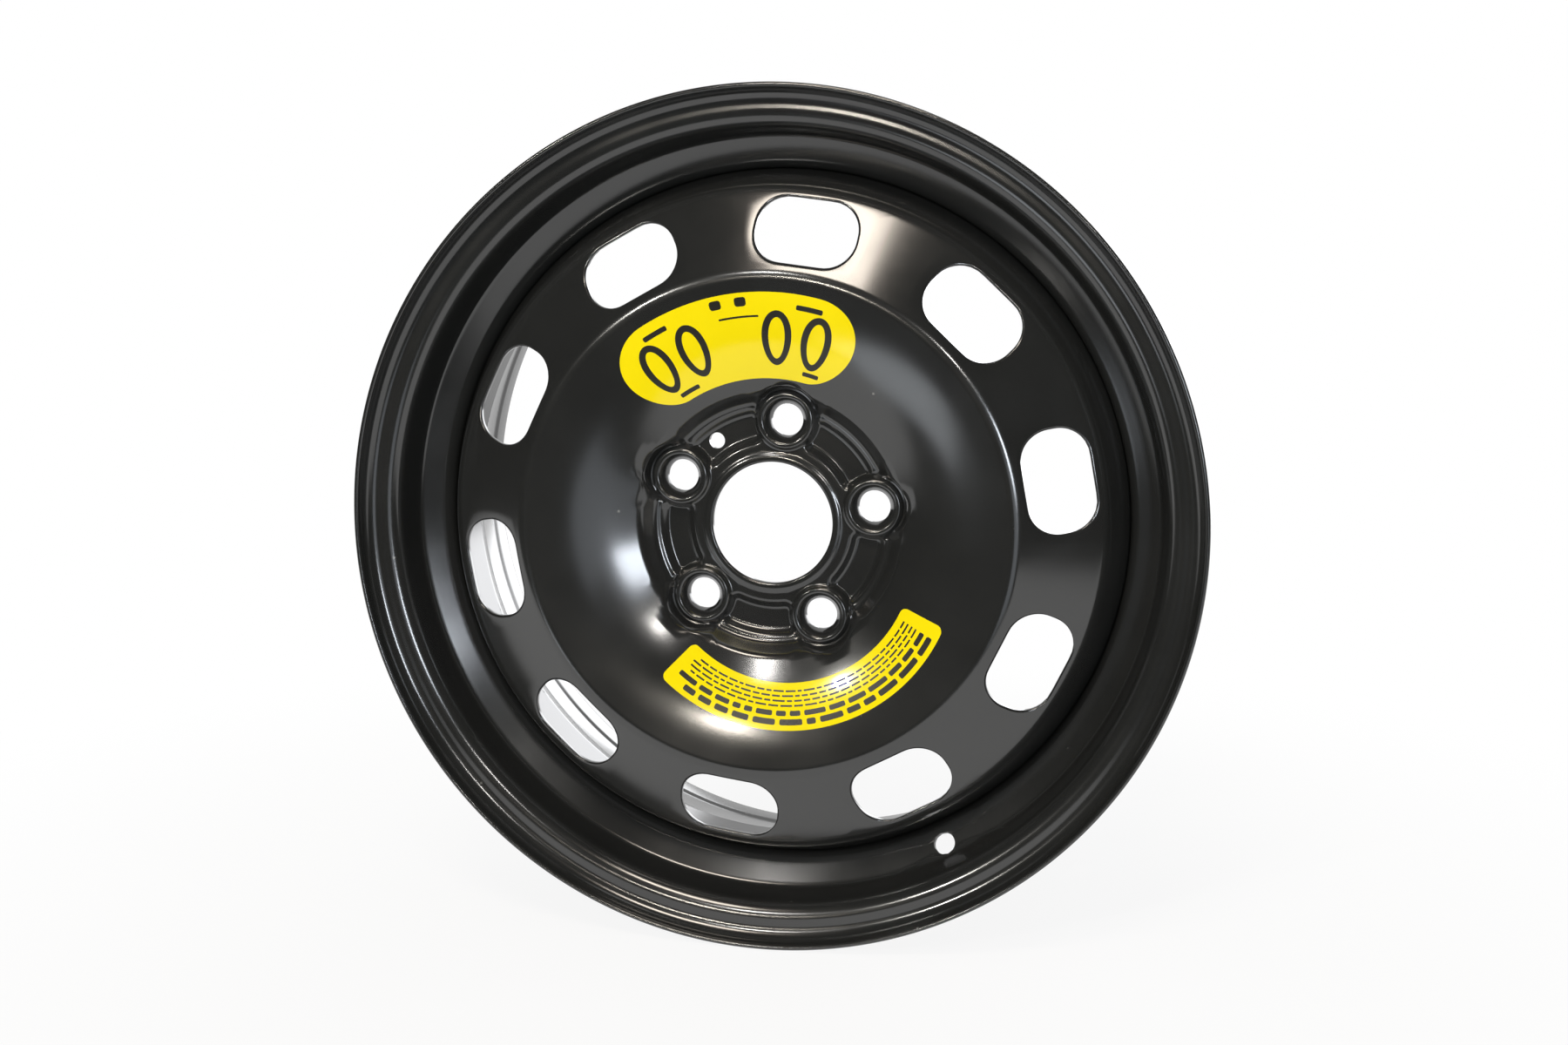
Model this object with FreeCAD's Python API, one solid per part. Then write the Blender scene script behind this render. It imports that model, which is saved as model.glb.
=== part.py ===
import FreeCAD, Part
import math
import os

from FreeCAD import Vector

# Pressed steel car wheel: a rolled rim with a vented disc welded into it, in millimetres and degrees.
# The axle lies along Y, the outer face looks along -Y and Z is up. The origin is on the axle, in the
# plane of the pads that seat on the hub. A height is a distance from that plane towards the outer face.
# An angle runs clockwise from the top, as seen from in front of the outer face.

# Rim
bead_diameter = 405.6
rim_width = 152.4
wheel_offset = 52.5
rim_sheet = 2.5
flange_height = 17.3
flange_curl = 7.5
lip_reach = 13.6
heel_bend = 6.5
seat_length = 19.8
seat_taper = 5.0
hump_rise = 0.9
hump_run = 3.2
hump_bend = 3.0
well_depth = 18.0
front_ramp_run = 9.9
well_run = 37.0
back_ramp_run = 34.0
well_bend = 7.0
ledge_depth = 4.8
ledge_bend = 18.0
valve_hole_diameter = 11.5
valve_angle = 144.0

# Disc
disc_sheet = 3.5
bore_diameter = 63.4
bore_edge_round = 1.2
collar_width = 3.4
collar_rise = 0.8
collar_slope = 1.6
collar_bend = 1.0
hub_floor_radius = 62.5
pocket_depth = 3.6
wall_foot_bend = 3.5
shoulder_radius = 69.0
shoulder_height = 15.5
shoulder_bend = 2.5
dome_swell = 3.5
dome_bend = 180.0
crown_radius = 127.5
crown_height = 32.5
crown_bend = 7.0
outer_bend_inset = 10.3
outer_bend_height = 12.0
outer_bend = 6.5
skirt_top_height = -12.5
skirt_bend = 9.0
skirt_length = 24.0

# Bolt seats and the room for a wheel brace around them
bolt_count = 5
bolt_circle_diameter = 108.0
bolt_hole_diameter = 16.7
seat_cone_angle = 60.0
seat_depth = 6.0
boss_rise = 2.6
boss_land = 2.2
boss_flank = 1.8
boss_bend = 1.0
funnel_wall = 2.8
socket_clearance_radius = 16.5
socket_draft = 12.0

# Pockets between the bolts, whose backs are the pads that seat on the hub
pocket_collar_gap = 7.0
pocket_wall_gap = 4.5
pocket_half_angle = 20.0
pocket_corner = 4.0
pocket_draft = 1.5
pad_spread = 1.6
locating_hole_diameter = 8.4
locating_hole_radius = 51.7
locating_hole_angle = -43.5

# Vents and the dent that clears the valve
vent_count = 10
vent_width = 52.0
vent_height = 33.0
vent_corner = 15.0
valve_clearance_radius = 10.5

# Welds between the skirt and the well
weld_count = 10
weld_span_angle = 21.0
weld_leg = 4.5
weld_crown = 0.5

# Labels on the dome
label_thickness = 0.2
upper_label_shoulder_gap = 6.5
upper_label_crown_gap = 8.5
upper_label_start_angle = -52.8
upper_label_end_angle = 19.5
lower_label_inner_radius = 68.0
lower_label_width = 23.5
lower_label_shift = 7.5
lower_label_drop = 13.5
lower_label_start_angle = 104.3
lower_label_end_angle = 215.8
lower_label_corner = 3.5

# How far the first bolt stands round from the top
clocking = 7.8

# Worked out from the sizes above
bead_radius = bead_diameter / 2
flange_radius = bead_radius + flange_height
front_flange = rim_width / 2 - wheel_offset
back_flange = -rim_width / 2 - wheel_offset
seat_drop = seat_length * math.tan(math.radians(seat_taper))
hump_radius = bead_radius - seat_drop + hump_rise
well_radius = bead_radius - well_depth
front_hump = front_flange - seat_length - hump_run
well_front = front_hump - front_ramp_run
well_back = well_front - well_run
ledge_front = well_back - back_ramp_run
back_hump = back_flange + seat_length + hump_run

bore_radius = bore_diameter / 2
land_height = disc_sheet + pocket_depth
collar_radius = bore_radius + collar_width
dome_middle_radius = (shoulder_radius + crown_radius) / 2
dome_middle_height = (shoulder_height + crown_height) / 2 + dome_swell
skirt_radius = well_radius - rim_sheet
skirt_end = skirt_top_height - skirt_length
outer_bend_radius = skirt_radius - outer_bend_inset
vent_ring_radius = (crown_radius + outer_bend_radius) / 2

bolt_radius = bolt_circle_diameter / 2
bolt_hole_radius = bolt_hole_diameter / 2
seat_slope = math.tan(math.radians(seat_cone_angle / 2))
boss_top = land_height + boss_rise
seat_bottom = boss_top - seat_depth
seat_mouth_radius = bolt_hole_radius + seat_depth * seat_slope
boss_crest_radius = seat_mouth_radius + boss_land
boss_foot_radius = boss_crest_radius + boss_flank
reach = 2 * rim_width


def place(radius, angle, height=0.0):
    """A point at a radius, an angle round from the first bolt and a height."""
    turn = math.radians(angle + clocking)
    return Vector(radius * math.sin(turn), -height, radius * math.cos(turn))


def around(count, first=0.0):
    """Evenly spaced angles all the way round."""
    return [first + 360.0 * index / count for index in range(count)]


def heading(start, end):
    """Unit direction from one corner of a section to the next."""
    run = Vector(end[0] - start[0], end[1] - start[1], 0)
    return run.normalize()


def right_of(direction):
    """Unit direction to the right of a heading."""
    return Vector(direction.y, -direction.x, 0)


def surface(corners, sheet, depth):
    """Corners of the surface at a depth under the face of a bent sheet.

    A corner is (radius, height, bend), where bend is the radius on the inside of the bend.
    The face is on the left of the path, and the depth is taken to the right.
    """
    moved = []
    for index, (radius, height, bend) in enumerate(corners):
        before = heading(corners[max(index - 1, 0)], corners[max(index, 1)])
        after = heading(corners[min(index, len(corners) - 2)], corners[min(index + 1, len(corners) - 1)])
        side = right_of(before) + right_of(after)
        shift = side * (depth / (1 + right_of(before).dot(right_of(after))))
        turns_right = before.cross(after).z < 0
        curve = bend + (sheet - depth if turns_right else depth)
        moved.append((radius + shift.x, height + shift.y, curve if bend else 0.0))
    return moved


def section_point(radius, height):
    """A point of a section, in the plane where X is the radius."""
    return Vector(radius, -height, 0)


def rounded(corners):
    """Edges through the corners of a section, with an arc at each corner that has a bend."""
    edges = []
    last = section_point(*corners[0][:2])
    for previous, corner, following in zip(corners, corners[1:], corners[2:]):
        before = heading(previous, corner)
        after = heading(corner, following)
        half_turn = before.getAngle(after) / 2
        point = Vector(corner[0], corner[1], 0)
        tangent = corner[2] * math.tan(half_turn)
        inward = (after - before).normalize()
        start = point - before * tangent
        middle = point + inward * (corner[2] / math.cos(half_turn) - corner[2])
        end = point + after * tangent
        bend = Part.Arc(*[section_point(spot.x, spot.y) for spot in (start, middle, end)])
        edges.append(Part.LineSegment(last, bend.StartPoint).toShape())
        edges.append(bend.toShape())
        last = bend.EndPoint
    edges.append(Part.LineSegment(last, section_point(*corners[-1][:2])).toShape())
    return edges


def spun(edges, angle=360.0):
    """A closed section turned about the axle."""
    face = Part.Face(Part.Wire(Part.__sortEdges__(edges)))
    return face.revolve(Vector(0, 0, 0), Vector(0, 1, 0), angle)


def closed_on_axle(corners):
    """Edges of a section that is solid from its path in to the axle."""
    first = corners[0]
    last = corners[-1]
    inside = [section_point(*last[:2]), section_point(0, last[1])]
    inside += [section_point(0, first[1]), section_point(*first[:2])]
    runs = [pair for pair in zip(inside, inside[1:]) if pair[0].distanceToPoint(pair[1]) > 1e-6]
    return rounded(corners) + [Part.LineSegment(*pair).toShape() for pair in runs]


def round_end(face_end, back_end, along):
    """A half-round end between the face and the back of a sheet."""
    middle = (face_end + back_end) / 2
    tip = middle + along * (face_end.distanceToPoint(back_end) / 2)
    return Part.Arc(face_end, tip, back_end).toShape()


def arc_about_axle(radius, start, end):
    """An arc about the axle between two angles."""
    middle = (start + end) / 2
    return Part.Arc(place(radius, start), place(radius, middle), place(radius, end)).toShape()


def band(inner, outer, start, end, corner):
    """Outline of a curved band about the axle, with rounded corners."""
    corner_radii = (outer - corner, inner + corner)
    insets = [math.degrees(math.asin(corner / radius)) for radius in corner_radii]
    edges = []
    for radius, edge_radius, inset, sign, side in (
        (corner_radii[0], outer, insets[0], -1, start),
        (corner_radii[0], outer, insets[0], 1, end),
        (corner_radii[1], inner, insets[1], 1, end),
        (corner_radii[1], inner, insets[1], -1, start),
    ):
        centre = place(radius, side - sign * inset)
        on_arc = place(edge_radius, side - sign * inset)
        on_side = place(radius * math.cos(math.radians(inset)), side)
        bulge = ((on_arc - centre) + (on_side - centre)).normalize()
        bend = Part.Arc(on_arc, centre + bulge * corner, on_side).toShape()
        edges.append(bend)
        if edge_radius == outer and sign == 1:
            edges.append(arc_about_axle(outer, start + inset, end - inset))
        if edge_radius == inner and sign == -1:
            edges.append(arc_about_axle(inner, start + inset, end - inset))
    outer_side = corner_radii[0] * math.cos(math.radians(insets[0]))
    inner_side = corner_radii[1] * math.cos(math.radians(insets[1]))
    for side in (start, end):
        edges.append(Part.LineSegment(place(inner_side, side), place(outer_side, side)).toShape())
    return Part.Wire(Part.__sortEdges__(edges))


def bean(inner, outer, start, end):
    """Outline of a curved band about the axle with fully rounded ends."""
    middle = (inner + outer) / 2
    inset = math.degrees(math.asin((outer - inner) / 2 / middle))
    first = start + inset
    last = end - inset
    edges = [arc_about_axle(outer, first, last), arc_about_axle(inner, first, last)]
    edges.append(Part.Arc(place(outer, first), place(middle * math.cos(math.radians(inset)), start),
                          place(inner, first)).toShape())
    edges.append(Part.Arc(place(outer, last), place(middle * math.cos(math.radians(inset)), end),
                          place(inner, last)).toShape())
    return Part.Wire(Part.__sortEdges__(edges))


def at_height(wire, height):
    """An outline moved from the seating plane to a height."""
    return wire.translated(Vector(0, -height, 0))


def through(wire):
    """A prism along the axle that passes through the whole wheel."""
    return Part.Face(at_height(wire, -reach)).extrude(Vector(0, -2 * reach, 0))


def rod(radius, centre, direction, length):
    """A round bar."""
    return Part.makeCylinder(radius, length, centre, direction)


outward = Vector(0, -1, 0)

rim_corners = [
    (flange_radius, front_flange + lip_reach - rim_sheet / 2, 0),
    (flange_radius, front_flange, flange_curl),
    (bead_radius, front_flange, heel_bend),
    (bead_radius - seat_drop, front_flange - seat_length, hump_bend),
    (hump_radius, front_hump, hump_bend),
    (well_radius, well_front, well_bend),
    (well_radius, well_back, well_bend),
    (bead_radius - ledge_depth, ledge_front, ledge_bend),
    (hump_radius, back_hump, hump_bend),
    (bead_radius - seat_drop, back_flange + seat_length, hump_bend),
    (bead_radius, back_flange, heel_bend),
    (flange_radius, back_flange, flange_curl),
    (flange_radius, back_flange - lip_reach + rim_sheet / 2, 0),
]

disc_corners = [
    (0, land_height + collar_rise, 0),
    (collar_radius, land_height + collar_rise, collar_bend),
    (collar_radius + collar_slope, land_height, collar_bend),
    (hub_floor_radius, land_height, wall_foot_bend),
    (shoulder_radius, shoulder_height, shoulder_bend),
    (dome_middle_radius, dome_middle_height, dome_bend),
    (crown_radius, crown_height, crown_bend),
    (outer_bend_radius, outer_bend_height, outer_bend),
    (skirt_radius, skirt_top_height, skirt_bend),
    (skirt_radius, skirt_end, 0),
]

dome_corners = [(radius, height, 0 if index != 1 else bend)
                for index, (radius, height, bend) in enumerate(disc_corners[4:7])]

# The valve stands square to the middle of the front ramp
ramp_run = heading(rim_corners[4], rim_corners[5])
ramp_normal = right_of(ramp_run)
valve_radius = (hump_radius + well_radius) / 2
valve_height = (front_hump + well_front) / 2
valve_spot = place(valve_radius, valve_angle, valve_height)
valve_axis = place(ramp_normal.x, valve_angle, ramp_normal.y)


def make_rim():
    """The rolled band: one bent sheet turned about the axle, with the valve hole."""
    face_edges = rounded(surface(rim_corners, rim_sheet, 0))
    back_edges = rounded(surface(rim_corners, rim_sheet, rim_sheet))
    lips = []
    for index, inner in ((0, 1), (-1, -2)):
        direction = heading(rim_corners[inner], rim_corners[index])
        face_end = face_edges[index].Vertexes[index].Point
        back_end = back_edges[index].Vertexes[index].Point
        lips.append(round_end(face_end, back_end, section_point(direction.x, direction.y)))
    band_solid = spun(face_edges + back_edges + lips)
    hole_start = valve_spot - valve_axis * valve_hole_diameter
    hole = rod(valve_hole_diameter / 2, hole_start, valve_axis, 2 * valve_hole_diameter)
    return band_solid.cut(hole)


def pocket(floor, top, spread):
    """A drafted recess between two bolts, from its floor up to a height, at each gap round the hub."""
    inner = collar_radius + collar_slope + pocket_collar_gap - spread
    outer = hub_floor_radius - pocket_wall_gap + spread
    lean = math.degrees(spread / bolt_radius)
    solids = []
    for middle in around(bolt_count, 180.0 / bolt_count):
        half = pocket_half_angle + lean
        low = band(inner, outer, middle - half, middle + half, pocket_corner + spread)
        widen = math.degrees(pocket_draft / bolt_radius)
        high = band(inner - pocket_draft, outer + pocket_draft, middle - half - widen,
                    middle + half + widen, pocket_corner + spread + pocket_draft)
        outlines = [at_height(low, floor), at_height(high, top)]
        solids.append(Part.makeLoft(outlines, True, True))
    return solids


def form(depth):
    """Everything behind the surface that the press forms at a depth under the disc's face."""
    body = spun(closed_on_axle(surface(disc_corners, disc_sheet, depth)))
    floor = land_height - depth
    top = crown_height + disc_sheet
    socket_top_radius = (socket_clearance_radius + depth
                         + (top - floor) * math.tan(math.radians(socket_draft)))
    cuts = pocket(floor - pocket_depth, floor + boss_rise, pad_spread if depth else 0.0)
    for angle in around(bolt_count):
        cuts.append(Part.makeCone(socket_clearance_radius + depth, socket_top_radius, top - floor,
                                  place(bolt_radius, angle, floor), outward))
    cuts.append(rod(valve_clearance_radius + depth, valve_spot, valve_axis, 2 * vent_width))
    return body.cut(cuts)


def boss(angle):
    """The raised ring round a bolt hole."""
    corners = [
        (0, boss_top, 0),
        (boss_crest_radius, boss_top, boss_bend),
        (boss_foot_radius, land_height, 0),
    ]
    foot = land_height - pocket_depth
    down = [section_point(boss_foot_radius, land_height), section_point(boss_foot_radius, foot),
            section_point(0, foot), section_point(0, boss_top)]
    edges = rounded(corners) + [Part.LineSegment(*pair).toShape() for pair in zip(down, down[1:])]
    return spun(edges).translated(place(bolt_radius, angle))


def funnel(angle):
    """The collar drawn out of the back of the hub plate, flush with the pads."""
    return rod(bolt_hole_radius + funnel_wall, place(bolt_radius, angle), outward, land_height)


def bolt_seat(angle):
    """The bolt hole and the cone that a wheel bolt seats in."""
    over = 2 * boss_rise
    hole = rod(bolt_hole_radius, place(bolt_radius, angle, seat_bottom - reach), outward, reach)
    mouth = seat_mouth_radius + over * seat_slope
    cone = Part.makeCone(bolt_hole_radius, mouth, seat_depth + over,
                         place(bolt_radius, angle, seat_bottom), outward)
    return hole.fuse(cone)


def bore_cutter():
    """The hub bore, with its front edge rounded over."""
    top = land_height + collar_rise
    edge = Part.Arc(section_point(bore_radius, top - bore_edge_round),
                    section_point(bore_radius + bore_edge_round * (1 - math.sqrt(0.5)),
                                  top - bore_edge_round * (1 - math.sqrt(0.5))),
                    section_point(bore_radius + bore_edge_round, top)).toShape()
    wide = bore_radius + bore_edge_round
    ring = [section_point(wide, top), section_point(wide, reach), section_point(0, reach),
            section_point(0, -reach), section_point(bore_radius, -reach),
            section_point(bore_radius, top - bore_edge_round)]
    return spun([edge] + [Part.LineSegment(*pair).toShape() for pair in zip(ring, ring[1:])])


def vent(angle):
    """A vent: a rounded slot punched along the axle."""
    half_width = vent_width / 2
    half_height = vent_height / 2
    slot = Part.makePlane(vent_width, vent_height, Vector(-half_width, -half_height, 0))
    slab = slot.extrude(Vector(0, 0, 2 * reach))
    upright = [edge for edge in slab.Edges if abs(edge.tangentAt(edge.FirstParameter).z) > 0.5]
    slab = slab.makeFillet(vent_corner, upright)
    slab.translate(Vector(0, 0, -reach))
    slab.rotate(Vector(0, 0, 0), Vector(1, 0, 0), 90)
    slab.rotate(Vector(0, 0, 0), Vector(0, 1, 0), angle + clocking)
    return slab.translated(place(vent_ring_radius, angle))


def make_disc():
    """The pressed disc: what lies between its face and its back, with the holes punched through."""
    face = form(0.0).fuse([boss(angle) for angle in around(bolt_count)])
    back = form(disc_sheet)
    sheet = face.cut(back)
    sheet = sheet.fuse([funnel(angle) for angle in around(bolt_count)])
    holes = [bolt_seat(angle) for angle in around(bolt_count)]
    holes += [vent(angle) for angle in around(vent_count)]
    holes.append(bore_cutter())
    locating_spot = place(locating_hole_radius, locating_hole_angle, -reach)
    holes.append(rod(locating_hole_diameter / 2, locating_spot, outward, 2 * reach))
    return sheet.cut(holes).removeSplitter()


def make_welds():
    """Runs of fillet weld in the corner between the skirt's end and the well."""
    across = min(weld_leg, disc_sheet)
    corner = section_point(skirt_radius, skirt_end)
    on_rim = section_point(skirt_radius, skirt_end - weld_leg)
    on_skirt = section_point(skirt_radius - across, skirt_end)
    slope = (on_rim - on_skirt).normalize()
    proud = Vector(slope.y, -slope.x, 0) * weld_crown
    middle = (on_rim + on_skirt) / 2
    if (middle + proud).distanceToPoint(corner) < middle.distanceToPoint(corner):
        proud = proud * -1
    bead = Part.Arc(on_rim, middle + proud, on_skirt).toShape()
    edges = [Part.LineSegment(corner, on_rim).toShape(), bead, Part.LineSegment(on_skirt, corner).toShape()]
    run = spun(edges, weld_span_angle)
    runs = []
    for angle in around(weld_count, 180.0 / vent_count):
        turned = run.copy()
        turned.rotate(Vector(0, 0, 0), Vector(0, 1, 0), angle + clocking - 90.0 - weld_span_angle / 2)
        runs.append(turned)
    return Part.makeCompound(runs)


def make_label(outline):
    """A thin label that follows the dome inside its outline."""
    face_edges = rounded(surface(dome_corners, disc_sheet, -label_thickness))
    back_edges = rounded(surface(dome_corners, disc_sheet, 0))
    ends = [Part.LineSegment(face_edges[index].Vertexes[index].Point,
                             back_edges[index].Vertexes[index].Point).toShape() for index in (0, -1)]
    layer = spun(face_edges + back_edges + ends)
    return layer.common(through(outline))


upper_outline = bean(shoulder_radius + upper_label_shoulder_gap, crown_radius - upper_label_crown_gap,
                     upper_label_start_angle, upper_label_end_angle)
lower_outline = band(lower_label_inner_radius, lower_label_inner_radius + lower_label_width,
                     lower_label_start_angle, lower_label_end_angle, lower_label_corner)
lower_outline = lower_outline.translated(Vector(lower_label_shift, 0, -lower_label_drop))

parts = {
    "rim": make_rim(),
    "disc": make_disc(),
    "disc_welds": make_welds(),
    "upper_label": make_label(upper_outline),
    "lower_label": make_label(lower_outline),
}

os.makedirs("parts", exist_ok=True)
for name, shape in parts.items():
    shape.exportStep(f"parts/{name}.step")
    print(name, "solids", len(shape.Solids), "valid", shape.isValid(), "volume", round(shape.Volume, 1))
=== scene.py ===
import math

import bmesh
import bpy
import numpy as np
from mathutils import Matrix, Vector


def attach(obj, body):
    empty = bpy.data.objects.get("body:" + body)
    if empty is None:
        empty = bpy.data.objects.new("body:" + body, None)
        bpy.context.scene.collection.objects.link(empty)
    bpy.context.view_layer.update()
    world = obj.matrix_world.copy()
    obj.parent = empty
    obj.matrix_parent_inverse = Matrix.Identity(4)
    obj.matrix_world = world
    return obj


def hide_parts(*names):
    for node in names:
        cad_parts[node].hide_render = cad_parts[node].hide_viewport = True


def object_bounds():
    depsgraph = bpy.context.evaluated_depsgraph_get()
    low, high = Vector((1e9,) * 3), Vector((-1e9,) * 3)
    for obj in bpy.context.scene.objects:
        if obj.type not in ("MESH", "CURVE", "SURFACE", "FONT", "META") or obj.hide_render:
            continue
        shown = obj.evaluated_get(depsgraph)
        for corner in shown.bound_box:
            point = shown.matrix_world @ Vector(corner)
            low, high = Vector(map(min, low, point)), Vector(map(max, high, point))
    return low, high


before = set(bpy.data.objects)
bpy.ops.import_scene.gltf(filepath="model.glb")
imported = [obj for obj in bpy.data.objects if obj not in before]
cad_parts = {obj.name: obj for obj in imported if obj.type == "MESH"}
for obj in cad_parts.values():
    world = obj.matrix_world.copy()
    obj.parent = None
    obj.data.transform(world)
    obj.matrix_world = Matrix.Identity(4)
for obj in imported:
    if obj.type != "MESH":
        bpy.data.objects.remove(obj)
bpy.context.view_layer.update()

# Driving sizes in millimetres and degrees, the same as in the CAD source
bead_diameter = 405.6
rim_width = 152.4
wheel_offset = 52.5
rim_sheet = 2.5
flange_height = 17.3
flange_curl = 7.5
lip_reach = 13.6
heel_bend = 6.5
seat_length = 19.8
seat_taper = 5.0
hump_rise = 0.9
hump_run = 3.2
hump_bend = 3.0
well_depth = 18.0
front_ramp_run = 9.9
well_run = 37.0
back_ramp_run = 34.0
well_bend = 7.0
ledge_depth = 4.8
ledge_bend = 18.0
valve_hole_diameter = 11.5
valve_angle = 144.0

disc_sheet = 3.5
bore_diameter = 63.4
bore_edge_round = 1.2
collar_width = 3.4
collar_rise = 0.8
collar_slope = 1.6
collar_bend = 1.0
hub_floor_radius = 62.5
pocket_depth = 3.6
wall_foot_bend = 3.5
shoulder_radius = 69.0
shoulder_height = 15.5
shoulder_bend = 2.5
dome_swell = 3.5
dome_bend = 180.0
crown_radius = 127.5
crown_height = 32.5
crown_bend = 7.0
outer_bend_inset = 10.3
outer_bend_height = 12.0
outer_bend = 6.5
skirt_top_height = -12.5
skirt_bend = 9.0
skirt_length = 24.0

bolt_count = 5
bolt_circle_diameter = 108.0
bolt_hole_diameter = 16.7
seat_cone_angle = 60.0
seat_depth = 6.0
boss_rise = 2.6
boss_land = 2.2
boss_flank = 1.8
funnel_wall = 2.8
socket_clearance_radius = 16.5
socket_draft = 12.0
pocket_collar_gap = 7.0
pocket_wall_gap = 4.5
pocket_half_angle = 20.0
pocket_corner = 4.0
pad_spread = 1.6
locating_hole_diameter = 8.4
locating_hole_radius = 51.7
locating_hole_angle = -43.5
vent_count = 10
vent_width = 52.0
vent_height = 33.0
vent_corner = 15.0
valve_clearance_radius = 10.5

weld_count = 10
weld_span_angle = 21.0
weld_leg = 4.5
label_thickness = 0.2
upper_label_shoulder_gap = 6.5
upper_label_crown_gap = 8.5
upper_label_start_angle = -52.8
upper_label_end_angle = 19.5
lower_label_inner_radius = 68.0
lower_label_width = 23.5
lower_label_shift = 7.5
lower_label_drop = 13.5
lower_label_start_angle = 104.3
lower_label_end_angle = 215.8
lower_label_corner = 3.5
clocking = 7.8

# Rounding that the press leaves on its edges
vent_edge_round = 1.3
pocket_wall_run = 5.0
pocket_wall_shift = 0.4
relief_blend = 4.5
relief_inset = 6.0
relief_lift = 0.1
back_relief_inset = 1.2
back_draft = 28.0
boss_edge_round = 0.35
boss_fade = 1.2
funnel_fade = 0.9
dent_blend = 2.0

# Shape of a weld run
weld_bulge = 0.9
weld_root = 0.4
weld_end_share = 0.14
weld_ripple = 0.045
weld_ripple_rate = 7.0

# Print on the labels
ink_sink = 0.01
ink_rise = 0.03
ring_half_width = 7.6
ring_half_height = 13.8
ring_stroke = 3.4

# Sizes that follow
bead_radius = bead_diameter / 2
flange_radius = bead_radius + flange_height
front_flange = rim_width / 2 - wheel_offset
back_flange = -rim_width / 2 - wheel_offset
seat_drop = seat_length * math.tan(math.radians(seat_taper))
hump_radius = bead_radius - seat_drop + hump_rise
well_radius = bead_radius - well_depth
front_hump = front_flange - seat_length - hump_run
well_front = front_hump - front_ramp_run
well_back = well_front - well_run
ledge_front = well_back - back_ramp_run
back_hump = back_flange + seat_length + hump_run
bore_radius = bore_diameter / 2
land_height = disc_sheet + pocket_depth
collar_radius = bore_radius + collar_width
dome_middle_radius = (shoulder_radius + crown_radius) / 2
dome_middle_height = (shoulder_height + crown_height) / 2 + dome_swell
skirt_radius = well_radius - rim_sheet
skirt_end = skirt_top_height - skirt_length
outer_bend_radius = skirt_radius - outer_bend_inset
vent_ring_radius = (crown_radius + outer_bend_radius) / 2
bolt_radius = bolt_circle_diameter / 2
bolt_hole_radius = bolt_hole_diameter / 2
boss_top = land_height + boss_rise
seat_bottom = boss_top - seat_depth
seat_mouth_radius = bolt_hole_radius + seat_depth * math.tan(math.radians(seat_cone_angle / 2))
boss_crest_radius = seat_mouth_radius + boss_land
boss_foot_radius = boss_crest_radius + boss_flank
relief_start = hub_floor_radius - relief_inset
upper_inner = shoulder_radius + upper_label_shoulder_gap
upper_outer = crown_radius - upper_label_crown_gap
upper_middle = (upper_inner + upper_outer) / 2
lower_inner = lower_label_inner_radius
lower_outer = lower_label_inner_radius + lower_label_width

# One column of the round grids for each degree
columns = 360
column_angle = 2 * math.pi / columns

rim_corners = [
    (flange_radius, front_flange + lip_reach - rim_sheet / 2, 0),
    (flange_radius, front_flange, flange_curl),
    (bead_radius, front_flange, heel_bend),
    (bead_radius - seat_drop, front_flange - seat_length, hump_bend),
    (hump_radius, front_hump, hump_bend),
    (well_radius, well_front, well_bend),
    (well_radius, well_back, well_bend),
    (bead_radius - ledge_depth, ledge_front, ledge_bend),
    (hump_radius, back_hump, hump_bend),
    (bead_radius - seat_drop, back_flange + seat_length, hump_bend),
    (bead_radius, back_flange, heel_bend),
    (flange_radius, back_flange, flange_curl),
    (flange_radius, back_flange - lip_reach + rim_sheet / 2, 0),
]

disc_corners = [
    (0, land_height + collar_rise, 0),
    (collar_radius, land_height + collar_rise, collar_bend),
    (collar_radius + collar_slope, land_height, collar_bend),
    (hub_floor_radius, land_height, wall_foot_bend),
    (shoulder_radius, shoulder_height, shoulder_bend),
    (dome_middle_radius, dome_middle_height, dome_bend),
    (crown_radius, crown_height, crown_bend),
    (outer_bend_radius, outer_bend_height, outer_bend),
    (skirt_radius, skirt_top_height, skirt_bend),
    (skirt_radius, skirt_end, 0),
]


def bent_path(corners, sheet, depth, step):
    """Section line of a bent sheet at a depth under its face, as rows of radius and height.

    Each straight run is moved sideways by the depth. Each corner is an arc about the bend's own centre, with
    the inside radius plus the sheet, less the depth, where the face is on the outside, and the inside radius
    plus the depth where it is on the inside. The step is the most degrees between two points of an arc.
    """
    points = np.array([corner[:2] for corner in corners], float)
    runs = np.diff(points, axis=0)
    runs /= np.linalg.norm(runs, axis=1)[:, None]
    sides = np.stack([runs[:, 1], -runs[:, 0]], axis=1)
    line = [points[:1] + sides[:1] * depth]
    for index in range(1, len(points) - 1):
        before, after = sides[index - 1], sides[index]
        corner = points[index] + depth * (before + after) / (1 + before @ after)
        cross = runs[index - 1, 0] * runs[index, 1] - runs[index - 1, 1] * runs[index, 0]
        angle = math.atan2(abs(cross), runs[index - 1] @ runs[index])
        hand = 1.0 if cross > 0 else -1.0
        radius = corners[index][2] + (depth if hand > 0 else sheet - depth)
        start = corner - runs[index - 1] * radius * math.tan(angle / 2)
        centre = start - hand * before * radius
        count = max(2, math.ceil(math.degrees(angle) / step) + 1)
        turned = hand * np.linspace(0, angle, count)
        arm = start - centre
        line.append(centre + np.stack([arm[0] * np.cos(turned) - arm[1] * np.sin(turned),
                                       arm[0] * np.sin(turned) + arm[1] * np.cos(turned)], axis=1))
    line.append(points[-1:] + sides[-1:] * depth)
    return np.concatenate(line)


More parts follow.
